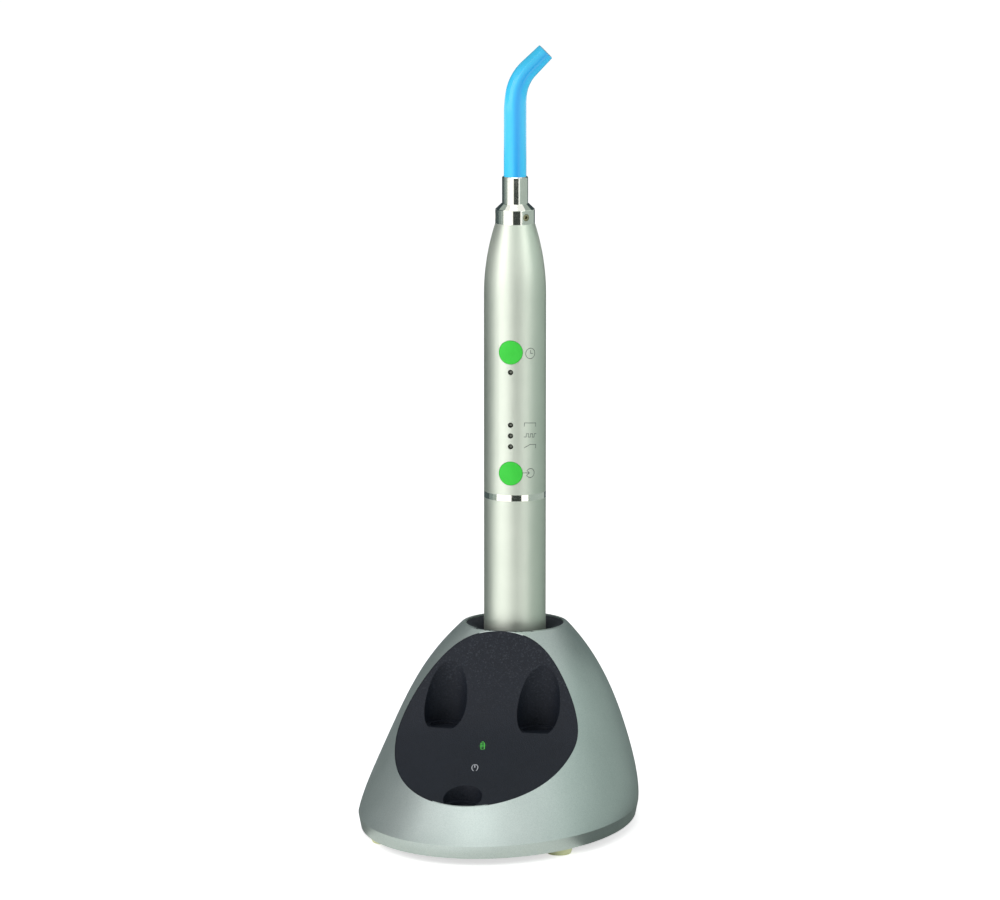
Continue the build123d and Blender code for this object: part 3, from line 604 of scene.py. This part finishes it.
# %% Screws with a bevel and a hexagon socket
screw_count = 3
old_screws = [vert.co - axis for vert in nodes["grub_screws"].data.vertices]
angles = [atan2(place.y, place.x) * screw_count for place in old_screws]
summed = sum(sin(angle) for angle in angles), sum(cos(angle) for angle in angles)
first_turn = atan2(*summed) / screw_count
screw_height = middle("grub_screws").z
screw_low, screw_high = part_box("grub_screws")
screw_radius = (screw_high.z - screw_low.z) / 2
bevel_size = 0.25 * MM
socket_size = 0.66 * MM
socket_depth = 0.9 * MM
screws = bmesh.new()
for number in range(screw_count):
    turn = first_turn + number * tau / screw_count
    out = Vector((cos(turn), sin(turn), 0))
    reaches = [place.dot(out) for place in old_screws if place.dot(out) > 0.8 * place.xy.length]
    inner, outer = min(reaches), max(reaches)
    middle_point = axis + up * screw_height + out * inner
    facing = out.to_track_quat("Z", "Y").to_matrix().to_4x4()
    start = Matrix.Translation(middle_point) @ facing
    before = set(screws.faces)
    bmesh.ops.create_circle(screws, cap_ends=True, segments=24, radius=screw_radius, matrix=start)
    end = [face for face in screws.faces if face not in before]
    inner_ring = end[0].verts[:]
    width = screw_radius
    moves = [
        (outer - inner - bevel_size, screw_radius),
        (bevel_size, screw_radius - bevel_size),
        (0.0, socket_size),
        (-socket_depth, socket_size),
    ]
    for move, new_width in moves:
        end, ring = extruded(screws, end)
        middle_point = middle_point + out * move
        bmesh.ops.translate(screws, verts=ring, vec=out * move)
        bmesh.ops.scale(
            screws, verts=ring, vec=(new_width / width,) * 3, space=Matrix.Translation(-middle_point)
        )
        width = new_width
        if move == 0.0:
            for vert in ring:
                spoke = vert.co - middle_point
                corner_turn = atan2(spoke.z, spoke.dot(out.cross(up))) % (tau / 6) - tau / 12
                vert.co = middle_point + spoke / cos(corner_turn) * cos(tau / 12)
    bmesh.ops.contextual_create(screws, geom=inner_ring)
grub_visual = finish_mesh(screws, "collar_screws")
for polygon in grub_visual.data.polygons:
    polygon.use_smooth = False
grub_visual.data.materials.append(black_steel.material)
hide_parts("grub_screws")
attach(grub_visual, "handpiece")

# %% [markdown]
# ## Edge of the panel
#
# Round the panel the cut edge of the painted shell stays bare, as dark as the panel itself. That edge
# is found on the shell's mesh: it lies level with the panel's face, right next to it. A thin copy of
# it, a fiftieth of a millimetre proud, is dressed like the panel.

# %% Dark cut edge
edge_reach = 3.0 * MM
edge_proud = 0.02 * MM
level_within = 0.08 * MM
same_facing = 0.97
most_sideways, least_up, least_forward = 0.2, 0.1, 0.1


def scooped(bm):
    """Keep only faces that look up and forward like the scoop, and not sideways like the body."""
    others = []
    for face in bm.faces:
        sideways, back, upward = face.normal
        if abs(sideways) > most_sideways or upward < least_up or back > -least_forward:
            others.append(face)
    bmesh.ops.delete(bm, geom=others, context="FACES")
    return bm


panel_shape = bmesh.new()
panel_shape.from_mesh(nodes["front_panel"].data)
panel_tree = BVHTree.FromBMesh(scooped(panel_shape))
edge_sheet = bmesh.new()
edge_sheet.from_mesh(nodes["base_shell"].data)
others = []
for face in scooped(edge_sheet).faces:
    near, facing, _, _ = panel_tree.find_nearest(face.calc_center_median())
    away = face.calc_center_median() - near
    level = abs(away.dot(facing)) <= level_within
    if away.length > edge_reach or facing.dot(face.normal) < same_facing or not level:
        others.append(face)
bmesh.ops.delete(edge_sheet, geom=others, context="FACES")
edge_sheet.normal_update()
print("cut edge", len(edge_sheet.faces), "faces")
bmesh.ops.solidify(edge_sheet, geom=edge_sheet.faces[:], thickness=-edge_proud)
panel_shape.free()
panel_edge = finish_mesh(edge_sheet, "panel_edge")
panel_edge.data.materials.append(panel_plastic.material)
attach(panel_edge, "base")

# %% [markdown]
# ## Little lamps in the housing
#
# Four small holes under and over the buttons hold indicator lamps. Each is a dark bore with a small
# grey dome at its bottom, so each is made as a cup and a dome rather than as a flat dot.

# %% Cups and domes
control_turn = radians(6.6)
outward = Vector((sin(control_turn), -cos(control_turn), 0))
lens_radius = 0.94 * MM
lens_low, lens_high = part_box("indicator_lenses")
lens_span = lens_high.z - lens_low.z - 2 * lens_radius
lens_shares = [1.0, 0.2906, 0.1453, 0.0]
lens_heights = [lens_low.z + lens_radius + share * lens_span for share in lens_shares]
bore_depth = 1.3 * MM
mouth_sink = 0.06 * MM
cup_height = 0.5 * MM
dome_radius = 0.62 * MM
dome_rise = 0.3 * MM
lamps = bmesh.new()
domes = bmesh.new()
for height in lens_heights:
    mouth = axis + outward * (tube_radius - mouth_sink) + up * height
    facing = outward.to_track_quat("Z", "Y").to_matrix().to_4x4()
    bottom = mouth - outward * bore_depth
    bmesh.ops.create_cone(
        lamps, cap_ends=True, segments=32, radius1=lens_radius, radius2=lens_radius, depth=cup_height,
        matrix=Matrix.Translation(bottom) @ facing,
    )
    bmesh.ops.create_uvsphere(
        domes, u_segments=24, v_segments=12, radius=dome_radius,
        matrix=Matrix.Translation(bottom + outward * dome_rise) @ facing,
    )
lamp_cups = finish_mesh(lamps, "lamp_cups")
lamp_domes = finish_mesh(domes, "lamp_domes")
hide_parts("indicator_lenses")
lens_black = soft_plastic("lens_black", tone(16, 17, 17), tone(28, 30, 29), 0.4, 0.1 * MM)
dome_grey = soft_plastic("dome_grey", tone(96, 100, 92), tone(128, 132, 122), 0.2, 0.2 * MM)
for piece, finish in ((lamp_cups, lens_black), (lamp_domes, dome_grey)):
    piece.data.materials.append(finish.material)
    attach(piece, "handpiece")

# %% [markdown]
# ## Printed marks
#
# Fine grey marks beside the buttons and lamps tell what they do: a dial by the upper button, three
# light modes by the lamps and a start sign by the lower button. Ink is a very thin layer on the tube.
# Each mark is drawn flat as strokes and then rolled onto the tube, where a distance sideways becomes an
# angle.

# %% Draw and roll the marks
ink_height = 0.02 * MM
ink_width = 0.22 * MM
mark_turn = radians(44.5)
mark_tilt = radians(-5.0)
mark_drop = 0.5 * MM


def stroke(bm, first, last, width):
    """A thin straight bar between two flat points, in short steps so that it can be rolled."""
    first, last = Vector((*first, 0)), Vector((*last, 0))
    way = last - first
    turn = Matrix.Rotation(atan2(way.y, way.x), 4, "Z")
    size = Matrix.Diagonal((way.length + width, width, ink_height, 1))
    place = Matrix.Translation((first + last) / 2)
    made = bmesh.ops.create_cube(bm, size=1.0, matrix=place @ turn @ size)
    edges = {edge for vert in made["verts"] for edge in vert.link_edges}
    long_edges = [edge for edge in edges if edge.calc_length() > max(width * 1.5, way.length * 0.7)]
    bmesh.ops.subdivide_edges(bm, edges=long_edges, cuts=5)


def path(bm, points, width=ink_width, long=1.0):
    """A run of strokes through flat points given in millimetres, drawn longer if asked."""
    placed = [(x * MM, y * long * MM) for x, y in points]
    for first, last in zip(placed, placed[1:]):
        stroke(bm, first, last, width)


def ring_points(radius, start=0.0, end=360.0, steps=28):
    """Points on a circle between two angles in degrees."""
    turns = [radians(start + (end - start) * step / steps) for step in range(steps + 1)]
    return [(radius * cos(turn), radius * sin(turn)) for turn in turns]


def roll(bm, turn, height):
    """Roll flat marks onto the tube around the handpiece axis."""
    bmesh.ops.rotate(bm, verts=bm.verts, cent=(0, 0, 0), matrix=Matrix.Rotation(mark_tilt, 3, "Z"))
    for vert in bm.verts:
        angle = turn + vert.co.x / tube_radius
        out = Vector((sin(angle), -cos(angle), 0))
        vert.co = axis + out * (tube_radius + vert.co.z) + up * (height + vert.co.y)


button_high = middle("upper_button").z
button_low = middle("lower_button").z
marks = []
dial = bmesh.new()
path(dial, ring_points(1.85))
path(dial, [(0, 1.05), (0, 0), (0.9, 0)])
marks.append((dial, button_high - mark_drop))
steady = bmesh.new()
path(steady, [(-2.3, -0.6), (-2.3, 0.6), (2.3, 0.6), (2.3, -0.6)])
marks.append((steady, lens_heights[1]))
pulses = bmesh.new()
pulse_points = []
for step in range(6):
    level = 0.6 if step % 2 else -0.6
    pulse_points += [(0.8 * (step - 3), level), (0.8 * (step - 2), level)]
path(pulses, pulse_points)
marks.append((pulses, lens_heights[2]))
ramp = bmesh.new()
path(ramp, [(-2.3, -0.6), (-0.2, 0.6), (2.3, 0.6), (2.3, -0.6)])
marks.append((ramp, lens_heights[3]))
start_sign = bmesh.new()
path(start_sign, ring_points(1.6, -150, 150, 22))
path(start_sign, [(-2.6, 0), (-0.4, 0)])
path(start_sign, [(-1.1, 0.6), (-0.4, 0), (-1.1, -0.6)])
marks.append((start_sign, button_low))

mark_ink = soft_plastic("mark_ink", tone(96, 108, 100), tone(116, 128, 118), 0.55, 0.1 * MM)
for number, (drawing, height) in enumerate(marks):
    roll(drawing, mark_turn, height)
    mark = finish_mesh(drawing, f"housing_mark_{number}")
    mark.data.materials.append(mark_ink.material)
    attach(mark, "handpiece")
print(len(marks), "printed marks")

# %% [markdown]
# ## Signals in the panel
#
# Two light pipes end flush in the panel. They are smoked, so they look like the panel when dark. A
# small sign shines through the upper one in green, with a halo in the plastic around it, and the lower
# sign is plain light grey print. The lower sign and its window carry a faint painted glow, an emission
# that makes them lighter. The signs are simple: a battery, and a ring with a bar.

# %% Light pipes


def pipe_top(node):
    """Middle and outward direction of a light pipe's upper face, found from the CAD mesh."""
    mesh = nodes[node].data
    up_face = max(mesh.polygons, key=lambda face: face.area * (face.normal.z > 0.5))
    facing = up_face.normal.copy()
    points = [vert.co for vert in mesh.vertices]
    reach = max(point.dot(facing) for point in points)
    rim = [point for point in points if point.dot(facing) > reach - 0.02 * MM]
    centre = Vector((0, 0, 0))
    for axis_index in range(3):
        values = [point[axis_index] for point in rim]
        centre[axis_index] = (min(values) + max(values)) / 2
    return centre, facing


def smoked(name, centre, glow, spread):
    """Smoked plastic with light that fades out from a point."""
    finish = Finish(name)
    grain = finish.noise(0.3 * MM, 3)
    ends = {0: finish.place(), 1: centre}
    away = finish.add("ShaderNodeVectorMath", {"operation": "DISTANCE"}, ends, output="Value")
    near = finish.remap(away, 0.0, spread, 1.0, 0.0)
    finish.wear(
        Base_Color=finish.mix(grain, tone(4, 9, 18), tone(20, 29, 40)),
        Roughness=0.5 + grain * 0.1,
        Specular_IOR_Level=0.3,
        Emission_Color=finish.mix(near * near, tone(0, 0, 0), glow),
        Emission_Strength=0.9,
        Normal=finish.bump(grain, 0.02 * MM, 0.5),
    )
    return finish


def sign(name, centre, facing, paths, width, finish):
    """A thin flat sign of strokes, laid on a face and drawn long, because the face leans back."""
    bm = bmesh.new()
    for points in paths:
        path(bm, points, width, long=sign_stretch)
    side = (right - facing * right.dot(facing)).normalized()
    upwards = facing.cross(side)
    turn = Matrix((side, upwards, facing)).transposed().to_4x4()
    bmesh.ops.transform(bm, matrix=Matrix.Translation(centre) @ turn, verts=bm.verts)
    piece = finish_mesh(bm, name)
    piece.data.materials.append(finish.material)
    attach(piece, "base")


def glowing(name, first, second, strength):
    """A small self-lit surface with a slight drift in colour."""
    finish = Finish(name)
    drift = finish.noise(0.5 * MM, 2)
    colour = finish.mix(drift, first, second)
    finish.wear(
        Base_Color=colour,
        Roughness=0.4 + drift * 0.1,
        Emission_Color=colour,
        Emission_Strength=strength,
    )
    return finish


sign_stretch = 1.85
charge_top, charge_facing = pipe_top("charge_indicator")
status_top, status_facing = pipe_top("status_indicator")
dress(smoked("charge_window", charge_top, tone(60, 170, 60), 1.7 * MM), "charge_indicator")
# The lower window gets a faint painted glow round its centre.
dress(smoked("status_window", status_top, tone(24, 26, 30), 1.5 * MM), "status_indicator")
battery_sign = [
    [(-0.6, -1.0), (0.6, -1.0), (0.6, 0.75), (-0.6, 0.75), (-0.6, -1.0)],
    [(-0.2, 1.1), (0.2, 1.1)],
]
ring_sign = [ring_points(1.05, -60, 240, 20), [(0, 0.1), (0, 1.25)]]
charge_glow = glowing("charge_glow", tone(40, 150, 44), tone(92, 205, 76), 0.6)
sign("charge_sign", charge_top, charge_facing, battery_sign, 0.2 * MM, charge_glow)
# Painted glow: the grey status print is given an emission that makes it lighter.
painted_status_glow = glowing("painted_status_glow", tone(150, 154, 160), tone(190, 193, 198), 0.3)
sign("status_sign", status_top, status_facing, ring_sign, 0.3 * MM, painted_status_glow)

# %% [markdown]
# ## The studio
#
# The object stands on a plain pale floor in a white room. Diffuse light comes from a big soft key at
# the left, a narrow strip at the front right, a small light overhead and an even white surround.
# Polished metal shows whatever stands around it, so cards that only reflections can see give it its
# dark and bright bands. Near ones stand low around the object, a black one towards the camera and grey
# ones at the sides. One hangs higher for parts that are lifted out, far ones darken the slanted flanks
# of the base, and flat ones on the floor darken its lower bevel.

# %% World


def background(world, colour, strength):
    node = world.node_tree.nodes.new("ShaderNodeBackground")
    node.inputs["Color"].default_value = colour
    node.inputs["Strength"].default_value = strength
    return node.outputs[0]


world = bpy.data.worlds.new("white_room")
bpy.context.scene.world = world
world.use_nodes = True
tree = world.node_tree
tree.nodes.clear()
rays = tree.nodes.new("ShaderNodeLightPath")
seen = rays.outputs["Is Camera Ray"]
for kind in ("Is Glossy Ray", "Is Transmission Ray"):
    either = tree.nodes.new("ShaderNodeMath")
    either.operation = "MAXIMUM"
    tree.links.new(seen, either.inputs[0])
    tree.links.new(rays.outputs[kind], either.inputs[1])
    seen = either.outputs[0]
choose = tree.nodes.new("ShaderNodeMixShader")
room_light = 0.42
tree.links.new(seen, choose.inputs[0])
tree.links.new(background(world, (1, 1, 1, 1), room_light), choose.inputs[1])
tree.links.new(background(world, (1, 1, 1, 1), 1.0), choose.inputs[2])
surface = tree.nodes.new("ShaderNodeOutputWorld")
tree.links.new(choose.outputs[0], surface.inputs[0])

# %% Soft lights
look_at = Vector((0, axis.y, 0.12))


def around_object(turn, rise, distance):
    """A place around the object: turn from the camera's direction to the right, rise above it."""
    angle = camera_turn + radians(turn)
    flat = Vector((sin(angle), -cos(angle), 0)) * cos(radians(rise))
    return look_at + (flat + Vector((0, 0, sin(radians(rise))))) * distance


def softbox(name, turn, rise, distance, width, height, power, colour=(1, 1, 1)):
    """A rectangular area light aimed at the object."""
    data = bpy.data.lights.new(name, "AREA")
    data.shape = "RECTANGLE"
    data.size = width
    data.size_y = height
    data.energy = power
    data.color = colour
    light = bpy.data.objects.new(name, data)
    bpy.context.scene.collection.objects.link(light)
    light.location = around_object(turn, rise, distance)
    light.rotation_euler = (look_at - light.location).to_track_quat("-Z", "Y").to_euler()


softbox("key", -64, 24, 1.5, 2.1, 1.3, 12.9, (1.0, 0.94, 0.97))
softbox("strip", 50, 20, 1.6, 0.75, 0.95, 3.6)
softbox("top", -20, 75, 1.5, 0.8, 0.8, 2.5)

# %% Cards that only reflections see
card_step = 6


def card(name, turns, reaches, heights, level, tint=(0.85, 1.0, 0.94)):
    """A curved card around the object: its turns, its first and last distance and height, its light."""
    start, end = turns
    bm = bmesh.new()
    inner, outer = (around_object(start, 0, reach) for reach in reaches)
    foot = bm.verts.new((inner.x, inner.y, heights[0]))
    head = bm.verts.new((outer.x, outer.y, heights[1]))
    edge = bm.edges.new((foot, head))
    steps = max(2, int(abs(end - start) / card_step))
    bmesh.ops.spin(
        bm, geom=[foot, head, edge], cent=look_at, axis=(0, 0, 1), dvec=(0, 0, 0),
        angle=radians(end - start), steps=steps, use_duplicate=False,
    )
    piece = finish_mesh(bm, name)
    paper = bpy.data.materials.new(name)
    paper.use_nodes = True
    glow = paper.node_tree.nodes.new("ShaderNodeEmission")
    glow.inputs["Color"].default_value = (*(part * level for part in tint), 1)
    output = paper.node_tree.nodes["Material Output"]
    paper.node_tree.links.new(glow.outputs[0], output.inputs[0])
    piece.data.materials.append(paper)
    piece.visible_camera = False
    piece.visible_diffuse = False
    piece.visible_shadow = False
    piece.visible_transmission = False


near_ring, near_heights = (0.42, 0.42), (0.002, 0.192)
ring_heights, nose_heights = (0.002, 0.125), (0.125, 0.192)
collar_heights, sleeve_heights = (0.125, 0.161), (0.161, 0.192)
lifted_ring, lifted_heights = (0.16, 0.16), (0.33, 0.47)
far_ring, far_heights, high_heights = (1.2, 1.2), (0.26, 1.3), (0.75, 1.6)
foot_ring, wide_ring, outer_ring = (0.03, 0.095), (0.03, 0.41), (0.095, 0.41)
flat_heights = (0.001, 0.001)
card("card_camera_low", (-13, 24), near_ring, ring_heights, 0.055)
card("card_camera_high", (-12, 31), near_ring, nose_heights, 0.055)
card("card_strip_low", (38, 50), near_ring, collar_heights, 0.45)
card("card_strip_high", (41, 50), near_ring, sleeve_heights, 0.6)
card("card_right", (50, 140), near_ring, near_heights, 0.47)
card("card_left", (-90, -71), near_ring, near_heights, 0.41)
card("card_left_back", (-110, -90), near_ring, near_heights, 0.26, (0.8, 1.0, 0.98))
card("card_back", (140, 250), near_ring, near_heights, 0.1, (0.74, 1.0, 1.02))
card("card_lifted", (40, 320), lifted_ring, lifted_heights, 0.4)
card("far_right", (62, 118), far_ring, far_heights, 0.75)
card("far_front", (-36, 33), far_ring, high_heights, 0.6)
card("far_back", (118, 286), far_ring, far_heights, 0.06, (0.7, 1.0, 1.1))
card("flat_right", (22, 118), foot_ring, flat_heights, 0.13)
card("flat_side", (45, 118), outer_ring, flat_heights, 0.45)
card("flat_front", (-50, 22), foot_ring, flat_heights, 0.85, (0.98, 1.0, 0.94))
card("flat_left", (-115, -50), foot_ring, flat_heights, 0.1)
card("flat_back", (118, 266), wide_ring, flat_heights, 0.07, (0.74, 1.0, 1.02))

# %% Floor
floor_mesh = bmesh.new()
bmesh.ops.create_grid(floor_mesh, x_segments=2, y_segments=2, size=6.0)
floor = finish_mesh(floor_mesh, "floor")
floor_paper = Finish("floor_paper")
paper_grain = floor_paper.noise(6 * MM, 3)
floor_paper.wear(
    Base_Color=floor_paper.mix(paper_grain, tone(250, 250, 250), tone(254, 254, 254)),
    Roughness=0.9,
    Specular_IOR_Level=0.0,
)
floor_tree = floor_paper.tree
rays = floor_tree.nodes.new("ShaderNodeLightPath")
white_light = floor_tree.nodes.new("ShaderNodeEmission")
both = floor_tree.nodes.new("ShaderNodeAddShader")
floor_light = 0.62
floor_tree.links.new(floor_paper.shader.outputs[0], both.inputs[0])
floor_tree.links.new(white_light.outputs[0], both.inputs[1])
shown = Value(floor_paper, rays.outputs["Is Camera Ray"])
passing = Value(floor_paper, rays.outputs["Is Transmission Ray"])
mirrored = Value(floor_paper, rays.outputs["Is Glossy Ray"])
floor_paper.feed(white_light.inputs["Strength"], (shown + passing + mirrored) * floor_light)
floor_tree.links.new(both.outputs[0], floor_tree.nodes["Material Output"].inputs[0])
floor.data.materials.append(floor_paper.material)
